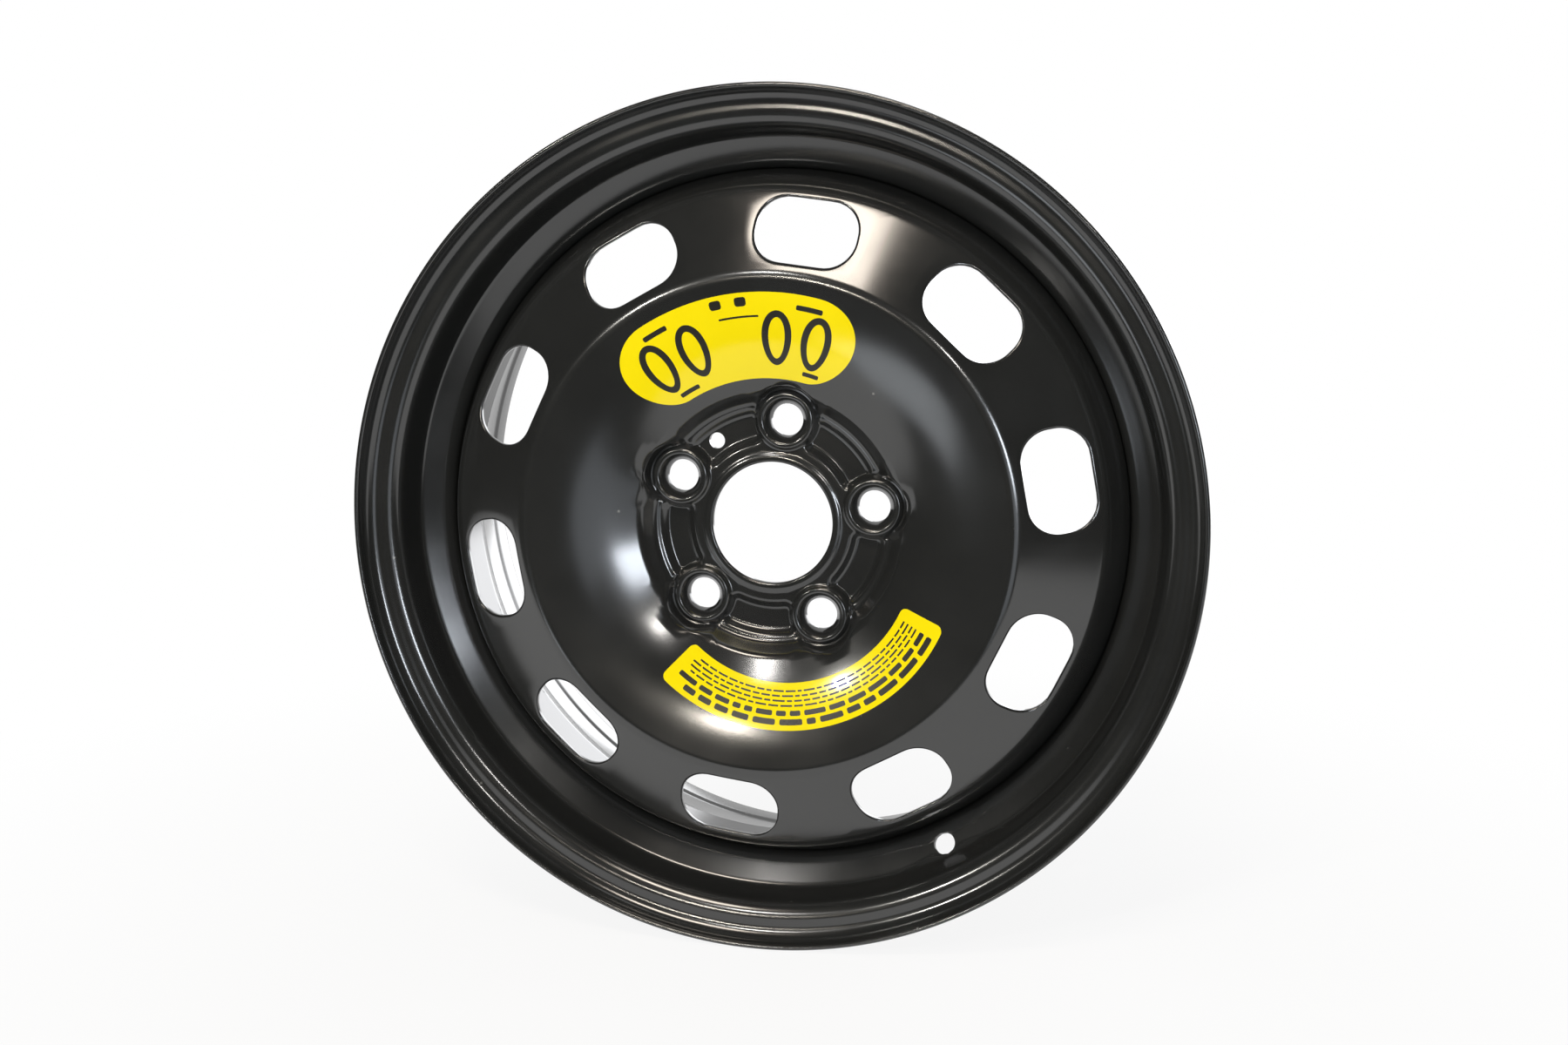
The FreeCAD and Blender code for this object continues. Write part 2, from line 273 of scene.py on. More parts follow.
def evenly(line, count):
    """Points at even steps along a line."""
    run = np.concatenate([[0], np.cumsum(np.linalg.norm(np.diff(line, axis=0), axis=1))])
    steps = np.linspace(0, run[-1], count)
    return np.stack([np.interp(steps, run, line[:, 0]), np.interp(steps, run, line[:, 1])], axis=1)


def place(radius, angle, height):
    """Points in metres, from the radius and clockwise angle about the axle and the height to the front."""
    return np.stack([radius * np.sin(angle), -height + 0 * angle, radius * np.cos(angle)], axis=-1) / 1000


def eased(share):
    """A step from 0 to 1 with a soft start and end."""
    share = np.clip(share, 0, 1)
    return share * share * (3 - 2 * share)


def softly_lower(first, second, blend):
    """The lower of two heights, with a fillet of about the blend's size where they cross."""
    share = np.clip(0.5 + (second - first) / (2 * blend), 0, 1)
    return second + (first - second) * share - blend * share * (1 - share)


def rounded_slot(x, y, half_width, half_height, corner):
    """Distance outside a slot with rounded corners, negative inside it."""
    across = np.abs(x) - half_width + corner
    along = np.abs(y) - half_height + corner
    outside = np.hypot(np.maximum(across, 0), np.maximum(along, 0))
    return outside + np.minimum(np.maximum(across, along), 0) - corner


def nearest_turn(angle, count, offset=0.0):
    """Angle to the nearest of some even spokes, in radians."""
    pitch = 2 * math.pi / count
    return (angle - math.radians(offset) + pitch / 2) % pitch - pitch / 2


def open_hole(block, rings, levels, distance, to_plane, from_plane):
    """Grid places round a hole: rings that follow its outline and turn into the grid's square further out.

    The block is the grid's row and column at the hole's middle and the number of rings that it takes up.
    Ring by ring, a grid point lies on the ray from the hole to the point of the block's edge that it stands
    for, at the outline grown by the ring's level, and past the last level it goes evenly on to that edge.
    """
    middle_row, middle_column, size = block
    steps = np.arange(-size, size + 1)
    row, column = np.meshgrid(steps, steps, indexing="ij")
    ring = np.maximum(np.abs(row), np.abs(column))
    outward = size / np.maximum(ring, 1)
    edge_x, edge_y = to_plane(middle_row + row * outward, middle_column + column * outward)
    reach = np.hypot(edge_x, edge_y)
    ray_x, ray_y = edge_x / reach, edge_y / reach
    level = np.interp(ring - rings, np.arange(len(levels)), levels)
    low, high = np.zeros_like(reach), reach.copy()
    for _ in range(40):
        middle = (low + high) / 2
        inside = distance(ray_x * middle, ray_y * middle) < level
        low = np.where(inside, middle, low)
        high = np.where(inside, high, middle)
    share = np.clip((ring - rings - len(levels) + 1) / (size - rings - len(levels) + 1), 0, 1)
    along = low + (reach - low) * share
    kept = ring >= rings
    rows = (middle_row + row)[kept]
    cols = (middle_column + column)[kept] % columns
    return rows, cols, from_plane((ray_x * along)[kept], (ray_y * along)[kept])


def hole_edge(block, rings, hand=1):
    """Rows and columns of the grid points round a hole's edge, in order."""
    middle_row, middle_column, _ = block
    side = np.arange(-rings, rings)
    still = np.full(2 * rings, rings)
    row = np.concatenate([-still, side, still, -side])
    column = np.concatenate([side, still, -side, -still])
    return middle_row + hand * row, (middle_column + column) % columns


def strip(first, second):
    """Four-sided faces between two closed rows of vertex numbers."""
    return np.stack([first, np.roll(first, -1), np.roll(second, -1), second], axis=1)


def grid_faces(numbers, hidden, closed_rows=False):
    """Four-sided faces of a round grid of vertex numbers, less the hidden ones."""
    over = np.roll(numbers, -1, axis=0)
    across = np.roll(numbers, -1, axis=1)
    both = np.roll(over, -1, axis=1)
    faces = np.stack([numbers, across, both, over], axis=-1)
    last = None if closed_rows else -1
    return faces[:last][~hidden[:last]]


def hide_hole(hidden, block, rings):
    """Marks the faces inside a hole's edge as hidden."""
    middle_row, middle_column, _ = block
    cols = np.arange(middle_column - rings, middle_column + rings) % columns
    hidden[middle_row - rings:middle_row + rings, cols] = True


def make_piece(name, points, faces, node, slot, material, sharp_angle):
    """A smooth mesh with its loose points left out and its normals outward, riding on the root."""
    used, numbers = np.unique(faces, return_inverse=True)
    faces = numbers.reshape(faces.shape)
    mesh = bpy.data.meshes.new(name)
    mesh.from_pydata(points[used].tolist(), [], faces.tolist())
    shape = bmesh.new()
    shape.from_mesh(mesh)
    bmesh.ops.recalc_face_normals(shape, faces=shape.faces)
    shape.to_mesh(mesh)
    shape.free()
    mesh.shade_smooth()
    mesh.set_sharp_from_angle(angle=math.radians(sharp_angle))
    mesh.materials.append(material)
    piece = bpy.data.objects.new(name, mesh)
    bpy.context.scene.collection.objects.link(piece)
    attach(piece, "root")
    if node:
        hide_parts(node)
    return piece


# Where the valve stands on the front ramp of the well, in the section
ramp_start = np.array(rim_corners[4][:2])
ramp_end = np.array(rim_corners[5][:2])
ramp_run = (ramp_end - ramp_start) / np.linalg.norm(ramp_end - ramp_start)
valve_spot = (ramp_start + ramp_end) / 2
valve_axis = np.array([ramp_run[1], -ramp_run[0]])
valve_column = round(valve_angle)


def rim_surface():
    """The rolled band: the outline of its section turned about the axle, with the valve hole in the ramp.

    The outline runs along the face from lip to lip, round a half circle, back along the other side and round
    again. Round the valve hole a point is given by its distance along the ramp and across the valve's plane.
    """
    size, rings = 9, 5
    levels = [0.0, 0.4, 1.0]
    ramp_reach = 9.5
    halves = []
    middles = []
    ramps = []
    for depth, hand in ((0.0, 1), (rim_sheet, -1)):
        line = bent_path(rim_corners, rim_sheet, depth, 7.5)
        fine = evenly(line, 4000)
        along = (fine - valve_spot) @ ramp_run
        near = np.linalg.norm(fine - valve_spot, axis=1) < 1.6 * ramp_reach
        steps = np.linspace(-ramp_reach, ramp_reach, 2 * size + 1)
        ramp = np.stack([np.interp(steps, along[near], fine[near, 0]),
                         np.interp(steps, along[near], fine[near, 1])], axis=1)
        line_along = (line - valve_spot) @ ramp_run
        close = np.linalg.norm(line - valve_spot, axis=1) < 1.6 * ramp_reach
        replaced = np.flatnonzero(close & (np.abs(line_along) < ramp_reach + 0.8))
        first, last = replaced[0], replaced[-1]
        rows = np.concatenate([line[:first], ramp, line[last + 1:]])
        middle = first + size
        if hand < 0:
            rows = rows[::-1]
            middle = len(rows) - 1 - middle
        halves.append(rows)
        middles.append(middle)
        ramps.append((steps, ramp))

    turned = np.radians(np.linspace(0, 180, 9))[1:-1]
    lip = rim_sheet / 2
    lip_radius = flange_radius - lip
    across, beyond = lip * np.cos(turned), lip * np.sin(turned)
    back_lip = np.stack([lip_radius + across, rim_corners[-1][1] - beyond], axis=1)
    front_lip = np.stack([lip_radius - across, rim_corners[0][1] + beyond], axis=1)
    outline = np.concatenate([halves[0], back_lip, halves[1], front_lip])
    middles[1] += len(halves[0]) + len(back_lip)

    angle = math.radians(clocking) + column_angle * np.arange(columns)
    radius = np.repeat(outline[:, :1], columns, axis=1)
    height = np.repeat(outline[:, 1:], columns, axis=1)
    angle = np.repeat(angle[None], len(outline), axis=0)
    hidden = np.zeros(radius.shape, bool)
    edges = []
    for middle, hand, (steps, ramp) in zip(middles, (1, -1), ramps):
        block = (middle, valve_column, size)

        def to_plane(row, column):
            along = hand * (row - middle) * ramp_reach / size
            turn = (column - valve_column) * column_angle
            return np.interp(along, steps, ramp[:, 0]) * np.sin(turn), along

        def from_plane(x, y):
            reach = np.interp(y, steps, ramp[:, 0])
            turn = np.arcsin(x / reach) + valve_column * column_angle + math.radians(clocking)
            return reach, turn, np.interp(y, steps, ramp[:, 1])

        def from_edge(x, y):
            return np.hypot(x, y) - valve_hole_diameter / 2

        rows, cols, spots = open_hole(block, rings, levels, from_edge, to_plane, from_plane)
        radius[rows, cols], angle[rows, cols], height[rows, cols] = spots
        hide_hole(hidden, block, rings)
        edges.append(hole_edge(block, rings, hand))
    numbers = np.arange(radius.size).reshape(radius.shape)
    wall = strip(numbers[edges[0]], numbers[edges[1]])
    faces = np.concatenate([grid_faces(numbers, hidden, closed_rows=True), wall])
    return place(radius, angle, height).reshape(-1, 3), faces


disc_face = bent_path(disc_corners, disc_sheet, 0.0, 0.5)
disc_back = bent_path(disc_corners, disc_sheet, disc_sheet, 0.5)


def pocket_share(radius, angle, spread):
    """How far a point is down a pocket between two bolts: 1 on its floor and 0 on the land round it."""
    inner = collar_radius + collar_slope + pocket_collar_gap - spread
    outer = hub_floor_radius - pocket_wall_gap + spread
    turn = nearest_turn(angle - math.radians(clocking), bolt_count, 180 / bolt_count)
    half = math.radians(pocket_half_angle) * bolt_radius + spread
    gap = rounded_slot(turn * bolt_radius, radius - (inner + outer) / 2, half, (outer - inner) / 2,
                       pocket_corner + spread)
    return 1 - eased((gap + pocket_wall_run / 2 - pocket_wall_shift) / pocket_wall_run)


def from_bolt(radius, angle):
    """Distance to the nearest bolt's axis."""
    turn = nearest_turn(angle - math.radians(clocking), bolt_count)
    return np.hypot(radius * np.sin(turn), radius * np.cos(turn) - bolt_radius)


def from_vent(radius, angle):
    """Distance outside the nearest vent's outline."""
    turn = nearest_turn(angle - math.radians(clocking), vent_count)
    return rounded_slot(radius * np.sin(turn), radius * np.cos(turn) - vent_ring_radius,
                        vent_width / 2, vent_height / 2, vent_corner)


def edge_drop(gap, round_size):
    """How far a rounded edge lies below its face at a distance from the edge."""
    share = np.clip(1 - gap / round_size, 0, 1)
    return round_size * (1 - np.sqrt(1 - share * share))


def face_height(radius, angle):
    """Height of the disc's face: the pressed section with pockets, bosses, socket reliefs and rolled edges.

    The section's height has the pockets taken out and is held under a cone round each bolt, so that a socket
    fits. The boss round each bolt is a cone seat, a flat crest and a sloping flank, and the higher counts.
    """
    bolt = from_bolt(radius, angle)
    height = np.interp(radius, disc_face[:, 0], disc_face[:, 1])
    height = height - pocket_depth * pocket_share(radius, angle, 0.0)
    draft = math.tan(math.radians(socket_draft))
    relief = land_height + np.maximum(bolt - socket_clearance_radius, 0) / draft + relief_lift
    height = np.where(radius > relief_start, softly_lower(height, relief, relief_blend), height)
    soft = boss_edge_round
    boss_end = boss_foot_radius + boss_fade
    flank = [bolt_hole_radius, seat_mouth_radius - soft, seat_mouth_radius + soft, boss_crest_radius - soft,
             boss_crest_radius + soft, boss_foot_radius, boss_end]
    drop = 2 * soft * (seat_depth / (seat_mouth_radius - bolt_hole_radius))
    crest = [seat_bottom, boss_top - drop / 2, boss_top - soft / 2, boss_top - soft / 3,
             boss_top - boss_rise * soft / boss_flank, land_height - 0.2, land_height - pocket_depth]
    boss = np.interp(bolt, flank, crest)
    blend = 0.5 * eased((bolt - boss_crest_radius) / boss_fade) + 0.01
    height = np.where(bolt < boss_end, -softly_lower(-height, -boss, blend), height)
    height = np.where(bolt < seat_mouth_radius, np.minimum(height, boss), height)
    height = height - edge_drop(from_vent(radius, angle), vent_edge_round)
    return height - edge_drop(radius - bore_radius, bore_edge_round)


def back_height(radius, angle):
    """Height of the disc's back: one sheet down, with the pads, bolt collars and reliefs pressed out."""
    bolt = from_bolt(radius, angle)
    floor = land_height - disc_sheet
    height = np.interp(radius, disc_back[:, 0], disc_back[:, 1])
    height = height - pocket_depth * pocket_share(radius, angle, pad_spread)
    draft = math.tan(math.radians(back_draft))
    relief_foot = socket_clearance_radius + disc_sheet - back_relief_inset
    relief = floor + np.maximum(bolt - relief_foot, 0) / draft + relief_lift
    height = np.where(radius > relief_start, softly_lower(height, relief, relief_blend), height)
    collar = bolt_hole_radius + funnel_wall
    collar_end = collar + funnel_fade
    drawn = np.interp(bolt, [collar - 0.3, collar, collar_end], [0, 0.2, floor])
    height = np.where(bolt < collar_end, np.minimum(height, drawn), height)
    return height + edge_drop(from_vent(radius, angle), vent_edge_round / 2)


def clear_valve(points, room):
    """Points pushed out of a round space about the valve's axis, with a soft rim to the dent they make."""
    turn = math.radians(valve_angle + clocking)
    spot = place(valve_spot[0], np.array(turn), valve_spot[1])
    axis = place(valve_axis[0], np.array(turn), valve_axis[1])
    axis = axis / np.linalg.norm(axis)
    along = (points - spot) @ axis
    foot = spot + along[..., None] * axis
    away = points - foot
    gap = np.linalg.norm(away, axis=-1) * 1000
    wide = -softly_lower(-gap, np.full_like(gap, -room), dent_blend)
    pushed = foot + away * (wide / np.maximum(gap, 1e-6))[..., None]
    return np.where(((gap < room + dent_blend) & (along > 0))[..., None], pushed, points)


def disc_surface():
    """The pressed disc: face and back on the same round grid, joined at the bore, the holes and the skirt.

    Rows run out from the bore at even steps through the hub, the dome and the vent ring, then along the bent
    section to the skirt's end. Rings round each bolt hole, vent and the locating hole follow its outline.
    """
    bolt_size, bolt_rings = 20, 6
    vent_size, vent_rings = 14, 8
    spot_size, spot_rings = 6, 3
    bolt_levels = [0.0, 1.6, 3.0, 3.46, 3.9, 5.2, 5.6, 6.1, 6.8, 7.4, 8.2, 9.0]
    vent_levels = [0.0, 0.12, 0.4, 0.8, 1.4]
    spot_levels = [0.0, 0.5]
    hub_step = 0.9
    hub_start = bolt_radius - bolt_size * hub_step
    hub_end = bolt_radius + bolt_size * hub_step
    ring_step = 1.34
    ring_start = vent_ring_radius - vent_size * ring_step
    ring_end = vent_ring_radius + vent_size * ring_step
    crown_start = crown_radius - 4
    edge = bore_radius + bore_edge_round * (1 - np.cos(np.radians([0, 15, 30, 50, 70, 90])))
    rows = np.concatenate([
        edge,
        np.linspace(edge[-1], hub_start, 6)[1:-1],
        np.linspace(hub_start, hub_end, 2 * bolt_size + 1),
        np.linspace(hub_end, crown_start, 17)[1:-1],
        np.linspace(crown_start, ring_start, 18)[:-1],
        np.linspace(ring_start, ring_end, 2 * vent_size + 1),
    ])
    bolt_row = int(np.argmin(np.abs(rows - bolt_radius)))
    vent_row = int(np.argmin(np.abs(rows - vent_ring_radius)))
    spot_row = int(np.argmin(np.abs(rows - locating_hole_radius)))
    angle = math.radians(clocking) + column_angle * np.arange(columns)
    radius = np.repeat(rows[:, None], columns, axis=1)
    angle = np.repeat(angle[None], len(rows), axis=0)

    holes = []
    for index in range(bolt_count):
        turn = 360 / bolt_count * index
        holes.append(((bolt_row, round(turn), bolt_size), bolt_rings, bolt_levels, bolt_radius, turn,
                      lambda x, y: np.hypot(x, y) - bolt_hole_radius))
    for index in range(vent_count):
        turn = 360 / vent_count * index
        holes.append(((vent_row, round(turn), vent_size), vent_rings, vent_levels, vent_ring_radius, turn,
                      lambda x, y: rounded_slot(x, y, vent_width / 2, vent_height / 2, vent_corner)))
    holes.append(((spot_row, round(locating_hole_angle), spot_size), spot_rings, spot_levels,
                  locating_hole_radius, locating_hole_angle,
                  lambda x, y: np.hypot(x, y) - locating_hole_diameter / 2))

    skirt_steps = 28
    skirts = []
    for line in (disc_face, disc_back):
        start = np.array([[ring_end, np.interp(ring_end, line[:, 0], line[:, 1])]])
        first = np.flatnonzero(line[:, 0] > ring_end)[0]
        skirts.append(evenly(np.concatenate([start, line[first:]]), skirt_steps)[1:])
    count = len(rows) + skirt_steps - 1
    hidden = np.zeros((count, columns), bool)
    edges = []
    for block, rings, levels, hole_radius, turn, distance in holes:

        def to_plane(row, column):
            reach = np.interp(row, np.arange(len(rows)), rows)
            side = column * column_angle - math.radians(turn)
            return reach * np.sin(side), reach * np.cos(side) - hole_radius

        def from_plane(x, y):
            up = y + hole_radius
            return np.hypot(x, up), np.arctan2(x, up) + math.radians(turn + clocking)

        block_rows, block_columns, spots = open_hole(block, rings, levels, distance, to_plane, from_plane)
        radius[block_rows, block_columns], angle[block_rows, block_columns] = spots
        hide_hole(hidden, block, rings)
        edges.append(hole_edge(block, rings))

    sides = []
    for height, skirt, room in ((face_height(radius, angle), skirts[0], valve_clearance_radius),
                                (back_height(radius, angle), skirts[1], valve_clearance_radius + disc_sheet)):
        inner = place(radius, angle, height)
        outer = place(skirt[:, :1], angle[:1], skirt[:, 1:])
        sides.append(clear_valve(np.concatenate([inner, outer]), room))
    face = np.arange(count * columns).reshape(count, columns)
    back = face + count * columns
    walls = [strip(face[edge], back[edge]) for edge in edges]
    walls += [strip(face[0], back[0]), strip(face[-1], back[-1])]
    faces = np.concatenate([grid_faces(face, hidden), grid_faces(back, hidden)] + walls)
    return np.concatenate([side.reshape(-1, 3) for side in sides]), faces


def weld_surface():
    """Runs of fillet weld: a bulging section along an arc, rippled along it and drawn in at both ends.

    Round the section the bead goes from the rim to the skirt and back through the corner between them. Along
    the run its size falls to nothing as a quarter ellipse at each end, and a sine wave makes the ripples.
    """
    along_count, bead_count = 60, 9
    across = min(weld_leg, disc_sheet)
    share = np.linspace(0, 1, bead_count)
    bulge = weld_bulge * np.sin(math.pi * share)
    slope = np.array([weld_leg, across]) / math.hypot(weld_leg, across)
    leg_out = np.concatenate([across * share + bulge * slope[0], [-weld_root]])
    leg_down = np.concatenate([weld_leg * (1 - share) + bulge * slope[1], [-weld_root]])
    run = np.linspace(-1, 1, along_count)
    past = np.maximum(np.abs(run) - (1 - weld_end_share), 0)
    end = np.sqrt(np.clip(1 - past ** 2 / weld_end_share ** 2, 0.0, 1))
    ripple = 1 + weld_ripple * np.sin(run * weld_span_angle / 2 * weld_ripple_rate)
    grow = (end * ripple)[:, None] * np.ones(len(leg_out))[None]
    points = []
    faces = []
    numbers = np.arange(grow.size).reshape(grow.shape)
    sides = np.stack([numbers[:-1], np.roll(numbers, -1, axis=1)[:-1],
                      np.roll(numbers, -1, axis=1)[1:], numbers[1:]], axis=-1).reshape(-1, 4)
    for index in range(weld_count):
        middle = 360 / weld_count * (index + 0.5) + clocking
        angle = np.radians(middle + run * weld_span_angle / 2)[:, None] + 0 * grow
        points.append(place(skirt_radius - leg_out * grow, angle, skirt_end - leg_down * grow).reshape(-1, 3))
        faces.append(sides + index * grow.size)
    return np.concatenate(points), np.concatenate(faces)


def film(outline, low, high):
    """A thin film on the dome: a grid of radius and angle at two heights over the face, closed round."""
    radius, angle = outline
    slope = np.gradient(disc_face[:, 1], disc_face[:, 0], edge_order=1)
    lean = 1 / np.cos(np.arctan(np.interp(radius, disc_face[:, 0], slope)))
    base = np.interp(radius, disc_face[:, 0], disc_face[:, 1])
    turned = np.radians(angle + clocking)
    points = np.concatenate([place(radius, turned, base + high * lean).reshape(-1, 3),
                             place(radius, turned, base + low * lean).reshape(-1, 3)])
    top = np.arange(radius.size).reshape(radius.shape)
    bottom = top + radius.size
    skin = np.stack([top[:-1, :-1], top[:-1, 1:], top[1:, 1:], top[1:, :-1]], axis=-1).reshape(-1, 4)
    rim_of = [np.concatenate([sheet[0, :-1], sheet[:-1, -1], sheet[-1, :0:-1], sheet[:0:-1, 0]])
              for sheet in (top, bottom)]
    return points, np.concatenate([skin, skin + radius.size, strip(*rim_of)])


def band_outline(inner, outer, start, end, corner, rows, cols):
    """Grid over a curved band with rounded corners: its ends draw in by a quarter circle near each side."""
    across = np.sin(np.linspace(-math.pi / 2, math.pi / 2, rows))[:, None]
    along = np.linspace(-1, 1, cols)[None]
    half = (outer - inner) / 2
    radius = (inner + outer) / 2 + half * across + 0 * along
    over = np.clip((np.abs(across) * half - half + corner) / corner, 0, 1)
    drawn_in = corner * (1 - np.sqrt(1 - over * over))
    shorter = np.degrees(drawn_in / ((inner + outer) / 2))
    return radius, (start + end) / 2 + along * ((end - start) / 2 - shorter)


def moved(outline):
    """The same grid about the lower label's own centre: made flat, moved across and down, and made polar."""
    radius, angle = outline
    turned = np.radians(angle + clocking)
    across = radius * np.sin(turned) + lower_label_shift
    up = radius * np.cos(turned) - lower_label_drop
    return np.hypot(across, up), np.degrees(np.arctan2(across, up)) - clocking


def ring_outline(radius, angle, half_width, half_height, stroke):
    """Grid over an oval ring: an ellipse about a spot on the dome, from its outer to its inner edge."""
    turn = np.linspace(0, 2 * math.pi, 49)[None]
    share = np.linspace(0, 1, 3)[:, None]
    across = (half_width - stroke * share) * np.sin(turn)
    up = (half_height - stroke * share) * np.cos(turn)
    return radius + up, angle + np.degrees(across / radius)


def surface_marks():
    """Node group shared by the finishes: fine orange peel, broad cloudy tone and sparse specks of dust."""
    group = bpy.data.node_groups.new("surface_marks", "ShaderNodeTree")
    for socket in ("Height", "Tone", "Dust"):
        group.interface.new_socket(socket, in_out="OUTPUT", socket_type="NodeSocketFloat")
    nodes, links = group.nodes, group.links
    spot = nodes.new("ShaderNodeTexCoord")
    peel = nodes.new("ShaderNodeTexNoise")
    peel.inputs["Scale"].default_value = 700
    peel.inputs["Detail"].default_value = 2
    cloud = nodes.new("ShaderNodeTexNoise")
    cloud.inputs["Scale"].default_value = 28
    cloud.inputs["Detail"].default_value = 5
    speck = nodes.new("ShaderNodeTexVoronoi")
    speck.inputs["Scale"].default_value = 75
    patch = nodes.new("ShaderNodeTexNoise")
    patch.inputs["Scale"].default_value = 55
    small = nodes.new("ShaderNodeMapRange")
    small.inputs["From Min"].default_value = 0.075
    small.inputs["From Max"].default_value = 0.045
    rare = nodes.new("ShaderNodeMapRange")
    rare.inputs["From Min"].default_value = 0.62
    rare.inputs["From Max"].default_value = 0.68
    dust = nodes.new("ShaderNodeMath")
    dust.operation = "MULTIPLY"
    out = nodes.new("NodeGroupOutput")
    for texture in (peel, cloud, speck, patch):
        links.new(spot.outputs["Object"], texture.inputs["Vector"])
    links.new(speck.outputs["Distance"], small.inputs["Value"])
    links.new(patch.outputs["Fac"], rare.inputs["Value"])
    links.new(small.outputs["Result"], dust.inputs[0])
    links.new(rare.outputs["Result"], dust.inputs[1])
    links.new(peel.outputs["Fac"], out.inputs["Height"])
    links.new(cloud.outputs["Fac"], out.inputs["Tone"])
    links.new(dust.outputs["Value"], out.inputs["Dust"])
    return group


marks = surface_marks()


def new_material(name, dark, light, dust, smooth, rough, peel, ior):
    """A finish whose colour and roughness drift between two values, with dust and a fine orange peel."""
    material = bpy.data.materials.new(name)
    material.use_nodes = True
    nodes, links = material.node_tree.nodes, material.node_tree.links
    shader = nodes["Principled BSDF"]
    group = nodes.new("ShaderNodeGroup")
    group.node_tree = marks
    tone = nodes.new("ShaderNodeMix")
    tone.data_type = "RGBA"
    tone.inputs["A"].default_value = (*dark, 1)
    tone.inputs["B"].default_value = (*light, 1)
    dusty = nodes.new("ShaderNodeMix")
    dusty.data_type = "RGBA"
    dusty.inputs["B"].default_value = (*dust, 1)
    gloss = nodes.new("ShaderNodeMapRange")
    gloss.inputs["From Min"].default_value = 0.3
    gloss.inputs["From Max"].default_value = 0.7
    gloss.inputs["To Min"].default_value = smooth
    gloss.inputs["To Max"].default_value = rough
    bump = nodes.new("ShaderNodeBump")
    bump.inputs["Strength"].default_value = peel
    bump.inputs["Distance"].default_value = 0.0002
    shader.inputs["IOR"].default_value = ior
    links.new(group.outputs["Tone"], tone.inputs["Factor"])
    links.new(tone.outputs["Result"], dusty.inputs["A"])
    links.new(group.outputs["Dust"], dusty.inputs["Factor"])
    links.new(dusty.outputs["Result"], shader.inputs["Base Color"])
    links.new(group.outputs["Tone"], gloss.inputs["Value"])
    links.new(gloss.outputs["Result"], shader.inputs["Roughness"])
    links.new(group.outputs["Height"], bump.inputs["Height"])
    links.new(bump.outputs["Normal"], shader.inputs["Normal"])
    return material


black_paint = new_material("black_paint", (0.014, 0.0145, 0.014), (0.02, 0.0207, 0.02), (0.16, 0.16, 0.15),
                           0.14, 0.185, 0.004, 1.75)
label_film = new_material("label_film", (0.88, 0.70, 0.002), (0.95, 0.78, 0.004), (0.55, 0.48, 0.2),
                          0.10, 0.14, 0.004, 1.5)
label_ink = new_material("label_ink", (0.012, 0.011, 0.008), (0.02, 0.018, 0.012), (0.2, 0.18, 0.1),
                         0.25, 0.35, 0.004, 1.5)

make_piece("wheel_rim", *rim_surface(), "rim", "black_paint", black_paint, 50)
make_piece("wheel_disc", *disc_surface(), "disc", "black_paint", black_paint, 62)
make_piece("weld_beads", *weld_surface(), "disc_welds", "black_paint", black_paint, 60)
make_piece("upper_label_film",
           *film(band_outline(upper_inner, upper_outer, upper_label_start_angle, upper_label_end_angle,
                              (upper_outer - upper_inner) / 2, 41, 81), 0.0, label_thickness),
           "upper_label", "label_film", label_film, 40)
make_piece("lower_label_film",
           *film(moved(band_outline(lower_inner, lower_outer, lower_label_start_angle, lower_label_end_angle,
                                    lower_label_corner, 41, 101)), 0.0, label_thickness),
           "lower_label", "label_film", label_film, 40)

# Print on the labels, in plain rings, bars and rows of dashes
ink_low = label_thickness - ink_sink
ink_high = label_thickness + ink_rise
shapes = []
for angle in (-42, -30, -4, 8):
    outline = ring_outline(upper_middle - 1, angle, ring_half_width, ring_half_height, ring_stroke)
    shapes.append(film(outline, ink_low, ink_high))
for radius, start, end, thick in ((upper_outer - 6.5, -41, -34, 2.6), (upper_outer - 4.5, -21.5, -18.5, 4.6),
                                  (upper_outer - 4.5, -15, -12, 4.6), (upper_outer - 6.5, 1, 8, 2.6),
                                  (upper_outer - 12, -20, -9, 1.0), (upper_inner + 4, -42, -34, 2.2),
                                  (upper_inner + 4.6, 5.5, 11.5, 2.2)):
    outline = band_outline(radius - thick / 2, radius + thick / 2, start, end, thick * 0.3, 7, 9)
    shapes.append(film(outline, ink_low, ink_high))
spread = np.random.default_rng(7)
lines = [(lower_outer - 4.2, 3.0, 9.0), (lower_outer - 8.6, 2.6, 8.0), (lower_outer - 12.3, 0.9, 5.0),
         (lower_outer - 14.7, 0.9, 5.0), (lower_outer - 17.1, 0.9, 5.0), (lower_outer - 19.5, 0.9, 5.0)]
for radius, thick, longest in lines:
    angle = lower_label_start_angle + 5
    while angle < lower_label_end_angle - 8:
        reach = spread.uniform(0.35, 1.0) * longest
        half = thick / 2
        outline = band_outline(radius - half, radius + half, angle, angle + reach, thick * 0.25, 5, 9)
        shapes.append(film(moved(outline), ink_low, ink_high))
        angle += reach + 0.5 + 0.35 * thick
counts = np.cumsum([0] + [len(points) for points, _ in shapes[:-1]])
ink_points = np.concatenate([points for points, _ in shapes])
ink_faces = np.concatenate([faces + count for (_, faces), count in zip(shapes, counts)])
make_piece("label_print", ink_points, ink_faces, None, "black_paint", label_ink, 40)

# Camera at the photograph's viewing angle
camera_place = Vector((0.18809, -0.86260, 0.12065))
camera_target = Vector((0.00473, 0.0, -0.00072))
camera_lens = 39.088
camera = bpy.data.objects.new("camera", bpy.data.cameras.new("camera"))
camera.location = camera_place
camera.rotation_euler = (camera_target - camera_place).to_track_quat("-Z", "Y").to_euler()
camera.data.lens = camera_lens
camera.data.sensor_width = 36
bpy.context.scene.collection.objects.link(camera)
bpy.context.scene.camera = camera

bpy.context.scene.view_settings.view_transform = "Standard"


